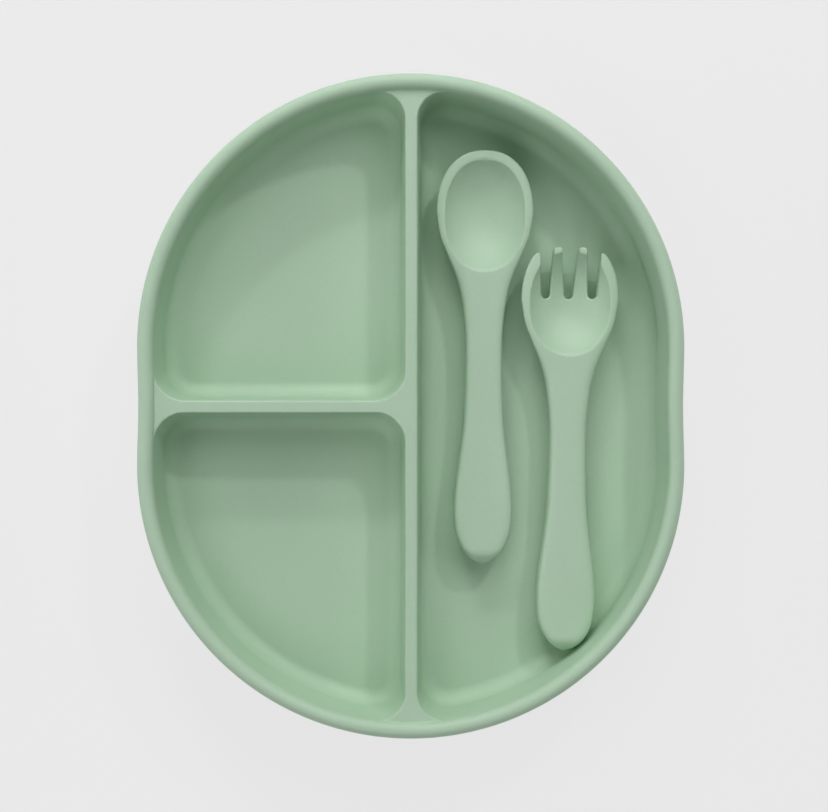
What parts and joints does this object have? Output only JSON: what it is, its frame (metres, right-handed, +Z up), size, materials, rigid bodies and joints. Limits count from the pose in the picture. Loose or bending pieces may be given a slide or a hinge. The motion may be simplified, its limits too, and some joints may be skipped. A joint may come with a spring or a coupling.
{
  "type": "suction bowl",
  "caption": "Low oval silicone bowl with divided compartments, a rolled rim, suction cups underneath, and a matching spoon and fork.",
  "frame": {"origin": "on the table, under the centre of the bowl's outline", "axes": "+Z up, +Y along the bowl's long axis towards the spoon's head, +X towards the long compartment"},
  "size_m": [0.182, 0.2212, 0.038],
  "materials": {
    "tray_silicone": "matt moulded silicone",
    "cup_silicone": "matt moulded silicone, smoother on the lip",
    "cutlery_silicone": "matt moulded silicone",
    "core_nylon": "moulded nylon"
  },
  "bodies": {
    "tray": {"tray_body": "tray_silicone", "cup_hub_back_left": "cup_silicone", "cup_hub_back_right": "cup_silicone", "cup_hub_front_left": "cup_silicone", "cup_hub_front_right": "cup_silicone"},
    "skirt_back_left": {"cup_skirt_back_left": "cup_silicone"},
    "tab_back_left": {"cup_tab_back_left": "cup_silicone"},
    "skirt_back_right": {"cup_skirt_back_right": "cup_silicone"},
    "tab_back_right": {"cup_tab_back_right": "cup_silicone"},
    "skirt_front_left": {"cup_skirt_front_left": "cup_silicone"},
    "tab_front_left": {"cup_tab_front_left": "cup_silicone"},
    "skirt_front_right": {"cup_skirt_front_right": "cup_silicone"},
    "tab_front_right": {"cup_tab_front_right": "cup_silicone"},
    "spoon": {"spoon_body": "cutlery_silicone", "spoon_core": "core_nylon"},
    "fork": {"fork_body": "cutlery_silicone", "fork_core": "core_nylon"}
  },
  "joints": [
    {"name": "spoon_lift", "type": "slide", "parent": "tray", "child": "spoon", "axis": [0, 0, 1], "range_m": [0, 0.06]},
    {"name": "fork_lift", "type": "slide", "parent": "tray", "child": "fork", "axis": [0, 0, 1], "range_m": [0, 0.06]},
    {"name": "press_back_left", "type": "slide", "parent": "tray", "child": "skirt_back_left", "axis": [0, 0, 1], "range_m": [0, 0.0018], "stiffness_N_per_m": 600},
    {"name": "peel_back_left", "type": "hinge", "parent": "skirt_back_left", "child": "tab_back_left", "pos_m": [-0.06435, 0.06004, 0.00105], "axis": [0.3256, 0.9455, 0], "range_deg": [0, 50], "stiffness_Nm_per_rad": 0.002},
    {"name": "press_back_right", "type": "slide", "parent": "tray", "child": "skirt_back_right", "axis": [0, 0, 1], "range_m": [0, 0.0018], "stiffness_N_per_m": 600},
    {"name": "peel_back_right", "type": "hinge", "parent": "skirt_back_right", "child": "tab_back_right", "pos_m": [0.06435, 0.06004, 0.00105], "axis": [0.3256, -0.9455, 0], "range_deg": [0, 50], "stiffness_Nm_per_rad": 0.002},
    {"name": "press_front_left", "type": "slide", "parent": "tray", "child": "skirt_front_left", "axis": [0, 0, 1], "range_m": [0, 0.0018], "stiffness_N_per_m": 600},
    {"name": "peel_front_left", "type": "hinge", "parent": "skirt_front_left", "child": "tab_front_left", "pos_m": [-0.06435, -0.06004, 0.00105], "axis": [-0.3256, 0.9455, 0], "range_deg": [0, 50], "stiffness_Nm_per_rad": 0.002},
    {"name": "press_front_right", "type": "slide", "parent": "tray", "child": "skirt_front_right", "axis": [0, 0, 1], "range_m": [0, 0.0018], "stiffness_N_per_m": 600},
    {"name": "peel_front_right", "type": "hinge", "parent": "skirt_front_right", "child": "tab_front_right", "pos_m": [0.06435, -0.06004, 0.00105], "axis": [-0.3256, -0.9455, 0], "range_deg": [0, 50], "stiffness_Nm_per_rad": 0.002}
  ]
}
